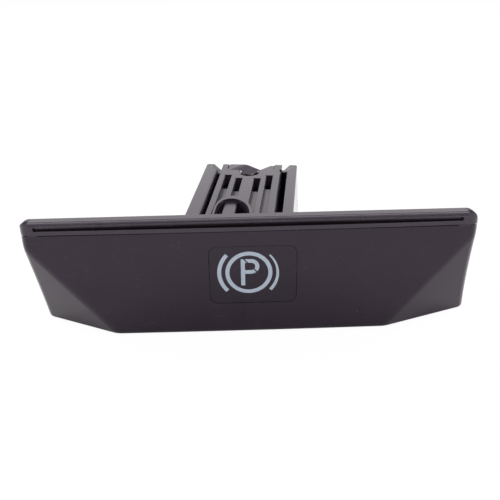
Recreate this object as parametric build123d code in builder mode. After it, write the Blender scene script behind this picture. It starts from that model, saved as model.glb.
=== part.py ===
"""Handbrake handle: a wide wedge-shaped pull grip with a ribbed sliding stem behind it.

Lengths are in millimetres. X runs along the grip, Y goes back from its face and Z is up. The origin is the
middle of the flat underside that the grip stands on.
"""

import os
from math import cos, radians, sin, tan

from build123d import *

# Grip, seen from the front
rim_half_width = 64.1
foot_half_width = 65.2
foot_shift = 0.5
nose_half_width = 39.4
facet_top = 31.45
cover_top = 33.45
rim_bottom = 36.85
rim_top = 38.15

# Grip, seen from the side
foot_depth = 20.0
grip_top_depth = 4.5
facet_depths = (11.9, 10.5)
face_crown = 0.6
cover_wall = 2.2
back_wall = 2.2

# Beaded rim along the top, the shadow slot under it, and the rounded columns at its ends
rim_half_length = 59.6
rim_overhang = 2.0
rim_back = 1.8
rim_back_radius = 0.3
rim_end_grip = 0.5
bead_groove = 0.2
bead_line_back = 0.75
bead_line_width = 0.3
bead_line_depth = 0.25
column_reach = 4.4
column_drop = 4.6
shelf_drop = 2.6
column_front_radius = 1.2
slot_height = 2.15
slot_depth = 1.4

# Roundings of the grip
crease_radius = 5.0
side_radius = 2.5
edge_radius = 1.3
wall_edge_radius = 0.8
parting_chamfer = 0.25

# Posts of the cover, and their pins through the back wall
post_spots = ((-46.0, 13.0), (-24.0, 26.5), (24.0, 26.5), (46.0, 13.0))
post_radius = 2.5
pin_radius = 1.5
pin_clearance = 0.15
pin_set_back = 0.3

# Stem: its own frame has U across it and V along it, at deck height
stem_skew = 6.65
stem_root_x = -4.1
deck_drop = 4.65
stem_length = 54.9
deck_half_width = 15.85
stem_height = 16.5
stem_draft = 2.0
stem_floor = 2.0
stem_corner_radius = 0.8

# Grooves, channels and windows of the deck, and the end web that closes the grooves
groove_bands = ((-11.3, -10.0), (10.7, 12.6))
groove_flare = (1.0, 2.0)
channel_centres = (3.05, 6.95)
channel_width = 2.0
channel_ends = (41.4, 44.2)
channel_flare = (0.5, 0.6)
channel_depth = 2.2
window_starts = (34.8, 36.9)
deck_plate = 1.4
edge_flare = 0.35
web_start = 50.0
web_top = (11.2, 13.4)
web_drop = 2.1
end_web = 1.2
ramp_inner = 7.1
ramp_outer = 8.1
ramp_drop = 0.4

# Cells cored into the stem from below
centre_cell_half_width = 4.5
centre_cell_end = 42.0
side_cell = (5.7, 8.2)
side_cell_end = 50.0

# Cable hole at the far end, its rounded mouth, and the notch that leads out of it
hole_u = -0.2
hole_v = 47.2
hole_radius = 3.1
mouth_radius = 1.0
notch_angle = 38.0
notch_profile = ((-2.8, 0.0), (-1.4, -0.3), (3.1, -2.2), (4.3, -2.2), (6.6, -0.5), (8.1, -0.5), (8.3, 0.0))
notch_radius = 0.6
notch_run = 7.5

# Cable well beside the grip, its raised lip and the hook bar across it
well_left = -7.0
well_right = 3.3
well_start = 5.0
well_crown_u = -3.3
well_crown_v = 21.1
well_left_run = 6.5
well_right_run = 12.6
well_depth = 12.0
lip_height = 1.0
lip_width = 0.7
lip_crown = 2.5
lip_radius = 0.35
bar_width = 4.1
bar_thickness = 2.0
bar_radius = 0.6

# Symbol insert
insert_width = 25.0
insert_height = 18.35
insert_centre_x = 0.85
insert_centre_z = 19.52
insert_thickness = 1.4
insert_gap = 0.08
insert_corner_radius = 2.4
insert_edge_radius = 0.15
leg_spacing = 16.0
leg_width = 6.0
leg_thickness = 1.2
leg_gap = 0.15
barb = 0.4
barb_height = 1.0
barb_gap = 0.1

# Printed symbol
print_thickness = 0.08
print_x = -0.35
print_z = 20.35
ring_radius = 6.72
stroke = 1.15
bracket_radius = 9.05
bracket_half_angle = 43.0
worn_radius = 8.63
worn_drop = 0.35
letter_left = -2.26
letter_top = 4.35
letter_bottom = -4.12
bowl_centre_x = 0.67
bowl_radius = 2.35
letter_gap = 0.4
letter_gap_x = 0.6
letter_gap_z = 2.15
letter_gap_angle = -48.6

# Places that follow from the sizes above
face_y = -foot_depth / 2
deck_z = rim_top - deck_drop
bar_u = well_crown_u
skew = radians(stem_skew)
across = Vector(cos(skew), -sin(skew), 0)
along = Vector(sin(skew), cos(skew), 0)
stem_plane = Plane(origin=(stem_root_x, face_y, deck_z), x_dir=across, z_dir=(0, 0, 1))


def face_at(x):
    """Y of the slightly crowned face at x."""
    return face_y + face_crown * (x / rim_half_width) ** 2


def back_plane(inset=0.0):
    """Plane of the leaning back wall, moved forward by inset, with its normal pointing back."""
    lean = foot_depth - grip_top_depth
    normal = Vector(0, rim_bottom, lean).normalized()
    return Plane(origin=Vector(0, face_y + foot_depth, 0) - normal * inset, z_dir=normal)


def facet_corners(side):
    """Top, nose and heel corner of the facet on one side, before any rounding."""
    top = Vector(side * rim_half_width, face_at(rim_half_width), facet_top)
    nose = Vector(side * nose_half_width, face_at(nose_half_width), 0)
    depth = facet_depths[0] if side < 0 else facet_depths[1]
    heel = foot_side_spot(side, depth)
    return top, nose, heel


def facet_plane(side, inset=0.0):
    """Plane of the facet on one side, moved inwards by inset, with its normal pointing out."""
    top, nose, heel = facet_corners(side)
    normal = ((heel - nose).cross(top - nose) * side).normalized()
    return Plane(origin=nose - normal * inset, z_dir=normal)


def grip_block(top_z, inset=0.0):
    """The wedge of the grip up to top_z, with its front, sides, foot and facets moved in by inset."""
    top_x = rim_half_width - inset
    foot_left = foot_shift - foot_half_width + inset
    foot_right = foot_shift + foot_half_width - inset
    reach = foot_half_width + foot_depth
    depth = foot_depth / cos(skew)
    with BuildPart() as block:
        with BuildSketch(Plane.XZ.offset(-face_y)):
            with BuildLine():
                Polyline((-top_x, facet_top), (-top_x, rim_top), (top_x, rim_top), (top_x, facet_top))
                TangentArc((top_x, facet_top), (foot_right, inset), tangent=(0, -1))
                Line((foot_right, inset), (foot_left, inset))
                TangentArc((-top_x, facet_top), (foot_left, inset), tangent=(0, -1))
            make_face()
        extrude(amount=depth, dir=(sin(skew), cos(skew), 0))
        with BuildSketch(Plane.XY):
            with BuildLine():
                ends_y = face_at(reach) + inset
                ThreePointArc((-reach, ends_y), (0, face_y + inset), (reach, ends_y))
                Polyline((reach, ends_y), (reach, foot_depth), (-reach, foot_depth), (-reach, ends_y))
            make_face()
        extrude(amount=top_z, mode=Mode.INTERSECT)
        split(bisect_by=back_plane(), keep=Keep.BOTTOM)
        for side in (-1, 1):
            split(bisect_by=facet_plane(side, inset), keep=Keep.BOTTOM)
    return block.part


def grip_edge(shape, spot):
    """The edge of shape that passes nearest to spot."""
    return shape.edges().sort_by_distance(spot)[0]


def foot_side_spot(side, depth):
    """A spot on the lower side edge of the grip, depth behind the face."""
    return Vector(foot_shift + side * foot_half_width + depth * tan(skew), face_y + depth, 0)


def posts(radius, end_plane):
    """Round posts that stand on the cover's front wall and end at end_plane."""
    with BuildPart() as rods:
        with BuildSketch(Plane.XZ.offset(-face_y - cover_wall)):
            with Locations(*post_spots):
                Circle(radius)
        extrude(amount=-foot_depth)
        split(bisect_by=end_plane, keep=Keep.BOTTOM)
    return rods.part


def insert_outline(gap=0.0):
    """Outline of the symbol insert, grown by gap, in the open sketch."""
    width = insert_width + 2 * gap
    height = insert_height + 2 * gap
    with Locations((insert_centre_x, insert_centre_z)):
        RectangleRounded(width, height, insert_corner_radius + gap)


def leg_outline(gap=0.0, hook=0.0):
    """Outlines of the insert's two snap legs, grown by gap and hooked outwards by hook."""
    for side in (-1, 1):
        with Locations((insert_centre_x + side * (leg_spacing + hook) / 2, insert_centre_z)):
            Rectangle(leg_thickness + hook + 2 * gap, leg_width + 2 * gap)


def front_plane(depth):
    """Upright sketch plane at a depth behind the face, seen from the front."""
    return Plane.XZ.offset(-face_y - depth)


def stem_point(u, v, w=0.0):
    """A place given across, along and above the deck of the stem."""
    return stem_plane.from_local_coords(Vector(u, v, w))


def stem_section(v):
    """Upright sketch plane across the stem at v, seen from the front."""
    return Plane(origin=stem_point(0, v), x_dir=across, z_dir=-along)


def band(u0, u1, v0, v1):
    """A rectangle between two places across and two along the stem, in the open sketch."""
    with Locations(((u0 + u1) / 2, (v0 + v1) / 2)):
        Rectangle(abs(u1 - u0), abs(v1 - v0))


def round_off(x, y, way, reach, drop):
    """What rounding takes off an upper corner at x, y, facing right where way is 1, in the open sketch."""
    with Locations((x, y)):
        Rectangle(2 * reach, 2 * drop)
    with Locations((x - way * reach, y - drop)):
        Ellipse(reach, drop, mode=Mode.SUBTRACT)


def slot_section(left, right, depth, flare):
    """Section of a slot in the deck, its left wall flared by reach and drop, in the open upright sketch."""
    band(left, right, -depth, 0)
    round_off(left, 0, 1, *flare)
    round_off(right, 0, -1, edge_flare, edge_flare)


def quarter_ellipse(centre, x_radius, y_radius, start):
    """A quarter of an ellipse, anticlockwise from the start angle, in the open line."""
    EllipticalCenterArc(centre, x_radius, y_radius, start_angle=start, arc_size=90)


def well_outline(side_grow=0.0, crown_grow=0.0):
    """Outline of the cable well, rounded at its far end by two unequal quarter ellipses."""
    left = well_left - side_grow
    right = well_right + side_grow
    crown = well_crown_v + crown_grow
    left_v = well_crown_v - well_left_run
    right_v = well_crown_v - well_right_run
    with BuildLine() as outline:
        Polyline((left, left_v), (left, well_start), (right, well_start), (right, right_v))
        quarter_ellipse((well_crown_u, right_v), right - well_crown_u, crown - right_v, 0)
        quarter_ellipse((well_crown_u, left_v), well_crown_u - left, crown - left_v, 90)
    make_face(outline.edges())


# Front cover: a shell that is open at the back, where the back wall closes it
parting = back_plane(back_wall)
corners = [facet_corners(side) for side in (-1, 1)]
rim_side_z = (facet_top + cover_top) / 2
with BuildPart() as cover_block:
    add(grip_block(cover_top))
    split(bisect_by=parting, keep=Keep.BOTTOM)

with BuildPart() as cover_cavity:
    add(grip_block(cover_top - cover_wall, cover_wall))

with BuildPart() as front_cover:
    add(cover_block.part)
    fillet([grip_edge(front_cover, (top + nose) / 2) for top, nose, heel in corners], crease_radius)
    side_edges = [grip_edge(front_cover, (heel + top) / 2) for top, nose, heel in corners]
    side_edges += [grip_edge(front_cover, (top.X, top.Y, rim_side_z)) for top, nose, heel in corners]
    fillet(side_edges, side_radius)
    low_edges = [grip_edge(front_cover, (0, face_y, 0))]
    for side, (top, nose, heel) in zip((-1, 1), corners):
        low_edges.append(grip_edge(front_cover, (heel + nose) / 2))
        heel_depth = heel.Y - face_y
        low_edges.append(grip_edge(front_cover, foot_side_spot(side, (heel_depth + foot_depth) / 2)))
    fillet(low_edges, edge_radius)
    chamfer(grip_edge(front_cover, (0, face_y, cover_top)), parting_chamfer)
    add(cover_cavity.part, mode=Mode.SUBTRACT)
    add(posts(post_radius, parting))
    add(posts(pin_radius, back_plane(pin_set_back)))
    with BuildSketch(front_plane(insert_thickness)):
        insert_outline(insert_gap)
    extrude(amount=insert_thickness + face_crown, mode=Mode.SUBTRACT)
    with BuildSketch(front_plane(0)):
        leg_outline(leg_gap)
    extrude(amount=-cover_wall - face_crown, mode=Mode.SUBTRACT)

# Stem: a ribbed deck over cored cells, with a deep groove along each side
roof = channel_depth + deck_plate
with BuildPart() as stem:
    with BuildSketch(stem_plane):
        band(-deck_half_width, deck_half_width, 0, stem_length)
    extrude(amount=-stem_height, taper=-stem_draft)
    far_corners = [stem_point(side * deck_half_width, stem_length, -stem_height / 2) for side in (-1, 1)]
    fillet([grip_edge(stem, spot) for spot in far_corners], stem_corner_radius)
    deck_sides = [stem_point(side * deck_half_width, stem_length / 2) for side in (-1, 1)]
    fillet([grip_edge(stem, spot) for spot in deck_sides], edge_flare)
    for left, right in groove_bands:
        inner, outer = sorted((left, right), key=abs)
        with BuildSketch(stem_plane):
            near_end = stem_length - end_web
            Polygon((inner, 0), (outer, 0), (outer, web_start), (inner, near_end), align=None)
        extrude(amount=stem_floor - stem_height, mode=Mode.SUBTRACT)
        with BuildSketch(stem_section(web_start)):
            slot_section(left, right, stem_floor, groove_flare)
        extrude(amount=web_start, mode=Mode.SUBTRACT)
    for side in (-1, 1):
        groove = groove_bands[0] if side < 0 else groove_bands[1]
        inner = min(groove, key=abs)
        with BuildSketch(stem_section(stem_length + end_web)):
            low = (side * web_top[0], -web_drop)
            Polygon((inner, -web_drop), low, (side * web_top[1], 0), (inner, 0), align=None)
            Polygon((side * ramp_inner, 0), (side * ramp_outer, -ramp_drop), (side * ramp_outer, 0), align=None)
        extrude(amount=stem_length + end_web - web_start, mode=Mode.SUBTRACT)
        for centre, end, start in zip(channel_centres, channel_ends, window_starts):
            left = side * centre - channel_width / 2
            right = left + channel_width
            with BuildSketch(stem_section(end)):
                slot_section(left, right, channel_depth, channel_flare)
            extrude(amount=end, mode=Mode.SUBTRACT)
            with BuildSketch(stem_plane):
                band(left, right, start, end)
            extrude(amount=-roof, mode=Mode.SUBTRACT)
    with BuildSketch(stem_plane.offset(-stem_height)):
        band(-centre_cell_half_width, centre_cell_half_width, 0, centre_cell_end)
        for side in (-1, 1):
            band(side * side_cell[0], side * side_cell[1], 0, side_cell_end)
    extrude(amount=stem_height - roof, mode=Mode.SUBTRACT)
    with BuildSketch(stem_plane.offset(-roof)):
        well_outline(lip_width, lip_crown)
    extrude(amount=roof + lip_height)
    fillet(stem.faces().sort_by(Axis.Z)[-1].edges(), lip_radius)
    with BuildSketch(stem_plane.offset(lip_height)):
        well_outline()
    extrude(amount=-lip_height - well_depth, mode=Mode.SUBTRACT)
    with BuildSketch(stem_plane):
        with Locations((hole_u, hole_v)):
            Circle(hole_radius)
    extrude(amount=-stem_height, mode=Mode.SUBTRACT)
    with BuildSketch(stem_section(hole_v)):
        with Locations((hole_u + hole_radius / 2, -mouth_radius / 2)):
            Rectangle(hole_radius, mouth_radius)
        round_off(hole_u + hole_radius, 0, -1, mouth_radius, mouth_radius)
    revolve(axis=Axis(stem_point(hole_u, hole_v), (0, 0, 1)), mode=Mode.SUBTRACT)
    turn = radians(notch_angle)
    notch_way = across * sin(turn) + along * cos(turn)
    with BuildSketch(stem_section(stem_length)) as notch_face:
        Polygon(*notch_profile, align=None)
        fillet(vertices().sort_by(Axis.Y)[:2], notch_radius)
    extrude(amount=notch_run, dir=notch_way * -1, mode=Mode.SUBTRACT)
    extrude(notch_face.sketch, amount=hole_radius, dir=notch_way, mode=Mode.SUBTRACT)
    with BuildSketch(stem_section(well_crown_v + lip_crown)):
        with Locations((bar_u, -bar_thickness / 2)):
            RectangleRounded(bar_width, bar_thickness, bar_radius)
    extrude(amount=well_crown_v + lip_crown)
    split(bisect_by=parting, keep=Keep.TOP)

# Rim: a strip along the top whose front edge is a double bead
with BuildPart() as rim:
    bead_radius = (rim_top - rim_bottom) / 4
    bead_front_y = face_y - rim_overhang
    bead_y = bead_front_y + bead_radius
    back_y = face_y + rim_back
    rim_middle = (rim_bottom + rim_top) / 2
    with BuildSketch(Plane.YZ.offset(-rim_half_length - rim_end_grip)):
        with Locations(((bead_y + back_y) / 2, rim_middle)):
            Rectangle(back_y - bead_y, rim_top - rim_bottom)
        fillet(vertices().sort_by(Axis.Y)[-1], rim_back_radius)
        with Locations((bead_y, rim_middle + bead_radius), (bead_y, rim_middle - bead_radius)):
            Circle(bead_radius)
        with Locations((bead_y, rim_middle)):
            Rectangle(2 * (bead_radius - bead_groove), 2 * bead_radius)
        with Locations((bead_front_y + bead_line_back + bead_line_width / 2, rim_top)):
            Rectangle(bead_line_width, 2 * bead_line_depth, mode=Mode.SUBTRACT)
    extrude(amount=2 * (rim_half_length + rim_end_grip))

# Handle body: back wall, neck with a rounded column at each end, rim and stem in one moulding
with BuildPart() as handle_body:
    add(grip_block(rim_top))
    add(cover_block.part, mode=Mode.SUBTRACT)
    rear_edges = handle_body.faces().sort_by(Axis.Y)[-1].edges()
    fillet(rear_edges.sort_by(Axis.Z)[:3], wall_edge_radius)
    column_z = (cover_top + rim_top) / 2
    column_spots = [(side * rim_half_width, face_at(rim_half_width), column_z) for side in (-1, 1)]
    fillet([grip_edge(handle_body, spot) for spot in column_spots], side_radius)
    shelf_z = rim_bottom - shelf_drop
    with BuildSketch(Plane.YZ.offset(-foot_half_width - foot_depth)):
        round_off(face_at(rim_half_width), rim_top, -1, column_front_radius, column_front_radius)
        with Locations((back_y + foot_depth / 2, (shelf_z + rim_top) / 2)):
            Rectangle(foot_depth, rim_top - shelf_z)
        round_off(back_y, rim_top, 1, rim_back_radius, rim_back_radius)
    extrude(amount=2 * (foot_half_width + foot_depth), mode=Mode.SUBTRACT)
    with BuildSketch(front_plane(-rim_overhang)):
        for side in (-1, 1):
            round_off(side * rim_half_width, rim_top, side, column_reach, column_drop)
    extrude(amount=-rim_overhang - foot_depth, mode=Mode.SUBTRACT)
    with BuildSketch(Plane.XY.offset(rim_bottom)):
        with Locations((0, face_y)):
            Rectangle(2 * rim_half_length, 2 * slot_depth)
    extrude(amount=-slot_height, mode=Mode.SUBTRACT)
    with BuildSketch(front_plane(0)):
        with Locations(*post_spots):
            Circle(pin_radius + pin_clearance)
    extrude(amount=-2 * foot_depth, mode=Mode.SUBTRACT)
    add(rim.part)
    add(stem.part)

# Symbol insert: a thin plate in its seat, with two hooked legs through the front wall
with BuildPart() as symbol_plate:
    with BuildSketch(front_plane(insert_thickness)):
        insert_outline()
    extrude(amount=insert_thickness)
    fillet(symbol_plate.faces().sort_by(Axis.Y)[0].edges(), insert_edge_radius)
    with BuildSketch(front_plane(insert_thickness)):
        leg_outline()
    extrude(amount=insert_thickness - cover_wall - barb_gap)
    with BuildSketch(front_plane(cover_wall + barb_gap)):
        leg_outline(hook=barb)
    extrude(amount=-barb_height)

# Printed symbol: a ring, a bracket on each side and the parking letter
print_plane = Plane(origin=(print_x, face_y, print_z), x_dir=(1, 0, 0), z_dir=(0, -1, 0))
bracket_inner = bracket_radius - stroke
half_turn = radians(bracket_half_angle)
wedge_x = 2 * bracket_radius * cos(half_turn)
wedge_z = 2 * bracket_radius * sin(half_turn)

with BuildPart() as symbol_ring:
    with BuildSketch(print_plane):
        Circle(ring_radius)
        Circle(ring_radius - stroke, mode=Mode.SUBTRACT)
    extrude(amount=print_thickness)

with BuildPart() as symbol_bracket_left:
    with BuildSketch(print_plane):
        Circle(bracket_radius)
        Circle(bracket_inner, mode=Mode.SUBTRACT)
        Polygon((0, 0), (-wedge_x, wedge_z), (-wedge_x, -wedge_z), align=None, mode=Mode.INTERSECT)
    extrude(amount=print_thickness)

with BuildPart() as symbol_bracket_right:
    with BuildSketch(print_plane):
        with Locations((0, -worn_drop)):
            Circle(worn_radius)
        Circle(bracket_inner, mode=Mode.SUBTRACT)
        Polygon((0, 0), (wedge_x, -wedge_z), (wedge_x, wedge_z), align=None, mode=Mode.INTERSECT)
    extrude(amount=print_thickness)

with BuildPart() as letter:
    bowl_z = letter_top - bowl_radius
    with BuildSketch(print_plane):
        with Locations((bowl_centre_x, bowl_z)):
            Circle(bowl_radius)
            Circle(bowl_radius - stroke, mode=Mode.SUBTRACT)
        with Locations((bowl_centre_x - bowl_radius, bowl_z)):
            Rectangle(2 * bowl_radius, 2 * bowl_radius, mode=Mode.SUBTRACT)
        bar_length = bowl_centre_x - letter_left
        for bar_z in (letter_top - stroke / 2, letter_top - 2 * bowl_radius + stroke / 2):
            with Locations((letter_left + bar_length / 2, bar_z)):
                Rectangle(bar_length, stroke)
        with Locations((letter_left + stroke / 2, (letter_top + letter_bottom) / 2)):
            Rectangle(stroke, letter_top - letter_bottom)
        with Locations((letter_gap_x, letter_gap_z)):
            Rectangle(4 * bowl_radius, letter_gap, rotation=letter_gap_angle, mode=Mode.SUBTRACT)
    extrude(amount=print_thickness)

with BuildPart() as symbol_p_stem:
    add(letter.solids().sort_by(Axis.X)[0])

with BuildPart() as symbol_p_bowl:
    add(letter.solids().sort_by(Axis.X)[-1])

os.makedirs("parts", exist_ok=True)
pieces = {
    "handle_body": handle_body,
    "front_cover": front_cover,
    "symbol_plate": symbol_plate,
    "symbol_ring": symbol_ring,
    "symbol_bracket_left": symbol_bracket_left,
    "symbol_bracket_right": symbol_bracket_right,
    "symbol_p_stem": symbol_p_stem,
    "symbol_p_bowl": symbol_p_bowl,
}
for name, piece in pieces.items():
    piece.part.label = name
    export_step(piece.part, f"parts/{name}.step")
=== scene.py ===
"""Handbrake handle, dressed and lit on a plain white stage. Lengths are in metres."""

from math import cos, radians, sin

import bpy
from mathutils import Matrix, Vector

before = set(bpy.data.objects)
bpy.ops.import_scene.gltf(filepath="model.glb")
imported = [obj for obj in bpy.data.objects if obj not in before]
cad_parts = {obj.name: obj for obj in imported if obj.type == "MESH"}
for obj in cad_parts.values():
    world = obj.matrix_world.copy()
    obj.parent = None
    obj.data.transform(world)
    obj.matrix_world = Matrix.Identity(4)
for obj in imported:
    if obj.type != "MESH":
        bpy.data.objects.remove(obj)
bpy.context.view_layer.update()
scene = bpy.context.scene


# Camera: the place, the angles and the focal length fitted to the photograph, whose frame is 500 pixels wide
FRAME_WIDTH_PX = 500
FOCAL_PX = 650
SENSOR_WIDTH_MM = 36
PITCH = radians(-27.06)
YAW = radians(0.97)
ROLL = radians(-1.10)
CAMERA_PLACE = Vector((-0.00266, -0.17253, 0.11061))
CLIP_START = 0.005


def make_camera():
    forward = Vector((sin(YAW) * cos(PITCH), cos(YAW) * cos(PITCH), sin(PITCH)))
    level = Vector((cos(YAW), -sin(YAW), 0))
    upright = level.cross(forward)
    right = cos(ROLL) * level + sin(ROLL) * upright
    up = cos(ROLL) * upright - sin(ROLL) * level
    data = bpy.data.cameras.new("camera")
    data.sensor_width = SENSOR_WIDTH_MM
    data.lens = SENSOR_WIDTH_MM * FOCAL_PX / FRAME_WIDTH_PX
    data.clip_start = CLIP_START
    camera = bpy.data.objects.new("camera", data)
    turned = Matrix((right, up, -forward)).transposed().to_4x4()
    camera.matrix_world = Matrix.Translation(CAMERA_PLACE) @ turned
    scene.collection.objects.link(camera)
    scene.camera = camera


# Node helpers
class Nodes:
    """Adds and links the nodes of one material or world."""

    def __init__(self, owner):
        owner.use_nodes = True
        self.tree = owner.node_tree
        self.tree.nodes.clear()

    def add(self, kind, inputs=None, **settings):
        """A node whose inputs are linked to sockets or set to values."""
        node = self.tree.nodes.new(kind)
        for name, value in settings.items():
            setattr(node, name, value)
        for name, value in (inputs or {}).items():
            target = node.inputs[name]
            if isinstance(value, bpy.types.NodeSocket):
                self.tree.links.new(value, target)
            else:
                target.default_value = value
        return node

    def noise(self, scale, detail, roughness=0.5, stretch=(1, 1, 1)):
        """Noise whose scale counts lumps per metre of the part's own frame, stretched along each axis."""
        place = self.add("ShaderNodeTexCoord").outputs["Object"]
        spread = self.add("ShaderNodeMapping", {"Vector": place, "Scale": stretch}).outputs[0]
        inputs = {"Vector": spread, "Scale": scale, "Detail": detail, "Roughness": roughness}
        return self.add("ShaderNodeTexNoise", inputs).outputs["Fac"]

    def remap(self, value, low, high, to_low, to_high):
        """value from low..high mapped to to_low..to_high, held inside."""
        inputs = {"Value": value, 1: low, 2: high, 3: to_low, 4: to_high}
        return self.add("ShaderNodeMapRange", inputs, clamp=True).outputs[0]

    def maths(self, operation, a, b=0.0):
        return self.add("ShaderNodeMath", {0: a, 1: b}, operation=operation).outputs[0]

    def blend(self, factor, first, second):
        """A blend of two colours."""
        inputs = {"Factor": factor, "A": first, "B": second}
        return self.add("ShaderNodeMix", inputs, data_type="RGBA").outputs["Result"]

    def bump(self, height, depth):
        return self.add("ShaderNodeBump", {"Height": height, "Strength": 1.0, "Distance": depth}).outputs[0]

    def finish(self, shader):
        self.add("ShaderNodeOutputMaterial", {"Surface": shader.outputs[0]})


# Black plastics: base and shade are the ends of the uneven colour, mottle is how far the roughness wanders
PLASTICS = {
    "cover_plastic": {
        "base": (0.009, 0.004, 0.010, 1),
        "shade": (0.012, 0.006, 0.013, 1),
        "ior": 1.37,
        "roughness": 0.20,
        "mottle": 0.03,
        "grain_size": 0.00035,
        "grain_depth": 0.0000012,
    },
    "body_plastic": {
        "base": (0.018, 0.013, 0.020, 1),
        "shade": (0.023, 0.018, 0.025, 1),
        "ior": 1.45,
        "roughness": 0.25,
        "mottle": 0.04,
        "grain_size": 0.00045,
        "grain_depth": 0.0000025,
    },
    "insert_plastic": {
        "base": (0.008, 0.004, 0.009, 1),
        "shade": (0.011, 0.006, 0.012, 1),
        "ior": 1.36,
        "roughness": 0.20,
        "mottle": 0.03,
        "grain_size": 0.00035,
        "grain_depth": 0.0000012,
    },
}
REFLECTION_TINT = (0.97, 0.86, 1.0, 1)
CLOUDS = {"scale": 90, "detail": 4}
CLOUD_COLOUR_EDGE = (0.3, 0.7)
CLOUD_GLOSS_EDGE = (0.25, 0.75)
GRAIN = {"detail": 2, "roughness": 0.6}

# Wear on the plastics: hairline scratches in patches and a few dust specks, both of a pale grey
SCRATCHES = {"scale": 260, "detail": 5, "roughness": 0.7, "stretch": (0.12, 1.0, 1.0)}
SCRATCH_MIDDLE = 0.5
SCRATCH_WIDTH = 0.006
SCRATCH_COLOUR_SHARE = 0.05
SCRATCH_ROUGHNESS = 0.12
SCRATCH_DEPTH_SHARE = 0.5
PATCHES = {"scale": 140, "detail": 2}
PATCH_EDGE = (0.56, 0.66)
DUST = {"scale": 2300, "detail": 1}
DUST_EDGE = (0.78, 0.83)
DUST_COLOUR_SHARE = 0.25
MARK_COLOUR = (0.30, 0.29, 0.31, 1)

# Pad print: the ink between its thin and its full cover, each with its colour and roughness
PRINT_LUMPS = {"scale": 1500, "detail": 3, "roughness": 0.6}
PRINT_EDGE = (0.3, 0.7)
THIN_INK = (0.30, 0.35, 0.42, 1)
FULL_INK = (0.37, 0.42, 0.50, 1)
THIN_INK_ROUGHNESS = 0.5
FULL_INK_ROUGHNESS = 0.4
INK_RELIEF = 0.000004
INK_IOR = 1.45


def moulded_plastic(name, base, shade, ior, roughness, mottle, grain_size, grain_depth):
    """Black moulded plastic: fine grain, soft unevenness of colour and gloss, hairlines and dust."""
    material = bpy.data.materials.new(name)
    n = Nodes(material)
    clouds = n.noise(**CLOUDS)
    grain = n.noise(1 / grain_size, **GRAIN)
    scratch = n.noise(**SCRATCHES)
    from_middle = n.maths("ABSOLUTE", n.maths("SUBTRACT", scratch, SCRATCH_MIDDLE))
    patch = n.remap(n.noise(**PATCHES), *PATCH_EDGE, 0.0, 1.0)
    hairline = n.maths("MULTIPLY", n.remap(from_middle, 0.0, SCRATCH_WIDTH, 1.0, 0.0), patch)
    dust = n.remap(n.noise(**DUST), *DUST_EDGE, 0.0, 1.0)
    pale_hairline = n.maths("MULTIPLY", hairline, SCRATCH_COLOUR_SHARE)
    pale_dust = n.maths("MULTIPLY", dust, DUST_COLOUR_SHARE)
    marks = n.maths("MINIMUM", n.maths("ADD", pale_hairline, pale_dust), 1.0)
    colour = n.blend(n.remap(clouds, *CLOUD_COLOUR_EDGE, 0.0, 1.0), base, shade)
    colour = n.blend(marks, colour, MARK_COLOUR)
    gloss = n.remap(clouds, *CLOUD_GLOSS_EDGE, roughness - mottle, roughness + mottle)
    gloss = n.maths("ADD", gloss, n.maths("MULTIPLY", hairline, SCRATCH_ROUGHNESS))
    height = n.maths("SUBTRACT", grain, n.maths("MULTIPLY", hairline, SCRATCH_DEPTH_SHARE))
    inputs = {
        "Base Color": colour,
        "Roughness": gloss,
        "Normal": n.bump(height, grain_depth),
        "IOR": ior,
        "Specular Tint": REFLECTION_TINT,
    }
    n.finish(n.add("ShaderNodeBsdfPrincipled", inputs))
    return material


def printed_ink(name):
    """Pale grey pad print, slightly uneven in its cover."""
    material = bpy.data.materials.new(name)
    n = Nodes(material)
    cover = n.remap(n.noise(**PRINT_LUMPS), *PRINT_EDGE, 0.0, 1.0)
    inputs = {
        "Base Color": n.blend(cover, THIN_INK, FULL_INK),
        "Roughness": n.remap(cover, 0.0, 1.0, THIN_INK_ROUGHNESS, FULL_INK_ROUGHNESS),
        "Normal": n.bump(cover, INK_RELIEF),
        "IOR": INK_IOR,
    }
    n.finish(n.add("ShaderNodeBsdfPrincipled", inputs))
    return material


def dress():
    plastics = {name: moulded_plastic(name, **look) for name, look in PLASTICS.items()}
    ink = printed_ink("symbol_print")
    looks = {
        "handle_body": plastics["body_plastic"],
        "front_cover": plastics["cover_plastic"],
        "symbol_plate": plastics["insert_plastic"],
    }
    for name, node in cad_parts.items():
        node.data.materials.clear()
        node.data.materials.append(looks.get(name, ink))


# Stage: a white floor that keeps the object's shadow, a white surround and plain soft lamps
FLOOR_SIZE = 6.0
FLOOR_DROP = 0.00005
FLOOR_COLOUR = (0.9, 0.9, 0.9, 1)
PURE_WHITE = (1, 1, 1, 1)
GLOW_SHARE_SEEN = 0.96
GLOW_SHARE_MIRRORED = 0.1
SURROUND_FILL = 0.45
SURROUND_SEEN = 1.0

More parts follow.
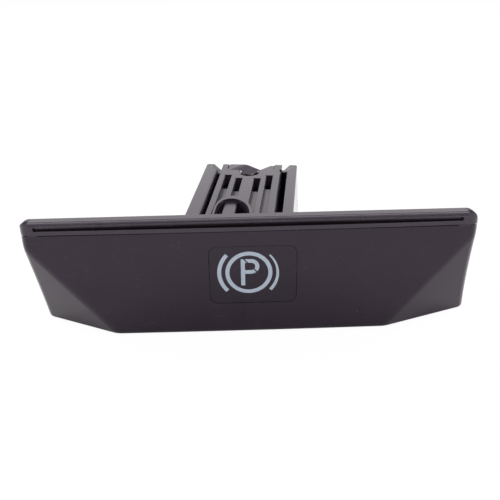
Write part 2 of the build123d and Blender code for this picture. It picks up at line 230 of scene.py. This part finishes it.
# Each lamp: its place, the point it is aimed at, its width, its height and its power in watts
LAMPS = {
    "top_lamp": ((0, -0.3, 0.8), (0, 0, 0.02), 0.9, 0.35, 4.5),
    "back_lamp": ((0, 0.9, 0.45), (0, 0, 0.03), 1.2, 0.5, 1.0),
    "left_lamp": ((-0.6, 0.3, 0.32), (-0.08, 0, 0), 0.5, 0.45, 7.0),
    "right_lamp": ((0.6, 0.3, 0.32), (0.08, 0, 0), 0.5, 0.45, 7.0),
}


def make_floor():
    bpy.ops.mesh.primitive_plane_add(size=FLOOR_SIZE, location=(0, 0, -FLOOR_DROP))
    floor = bpy.context.object
    floor.name = "floor"
    material = bpy.data.materials.new("floor_white")
    n = Nodes(material)
    lit = n.add("ShaderNodeBsdfDiffuse", {"Color": FLOOR_COLOUR})
    glow = n.add("ShaderNodeEmission", {"Color": PURE_WHITE, "Strength": 1.0})
    ray = n.add("ShaderNodeLightPath")
    seen = n.maths("MULTIPLY", ray.outputs["Is Camera Ray"], GLOW_SHARE_SEEN)
    mirrored = n.maths("MULTIPLY", ray.outputs["Is Glossy Ray"], GLOW_SHARE_MIRRORED)
    share = n.maths("MAXIMUM", seen, mirrored)
    n.finish(n.add("ShaderNodeMixShader", {0: share, 1: lit.outputs[0], 2: glow.outputs[0]}))
    floor.data.materials.append(material)


def make_world():
    world = bpy.data.worlds.new("surround")
    scene.world = world
    n = Nodes(world)
    ray = n.add("ShaderNodeLightPath")
    seen = n.maths("MAXIMUM", ray.outputs["Is Camera Ray"], ray.outputs["Is Glossy Ray"])
    strength = n.remap(seen, 0.0, 1.0, SURROUND_FILL, SURROUND_SEEN)
    sky = n.add("ShaderNodeBackground", {"Color": PURE_WHITE, "Strength": strength})
    n.add("ShaderNodeOutputWorld", {"Surface": sky.outputs[0]})


def soft_lamp(name, place, target, width, height, power):
    data = bpy.data.lights.new(name, "AREA")
    data.shape = "RECTANGLE"
    data.size = width
    data.size_y = height
    data.energy = power
    lamp = bpy.data.objects.new(name, data)
    aim = Vector(target) - Vector(place)
    lamp.matrix_world = Matrix.Translation(place) @ aim.to_track_quat("-Z", "Y").to_matrix().to_4x4()
    scene.collection.objects.link(lamp)


make_camera()
dress()
make_floor()
make_world()
for lamp_name, lamp_values in LAMPS.items():
    soft_lamp(lamp_name, *lamp_values)

scene.view_settings.view_transform = "Standard"
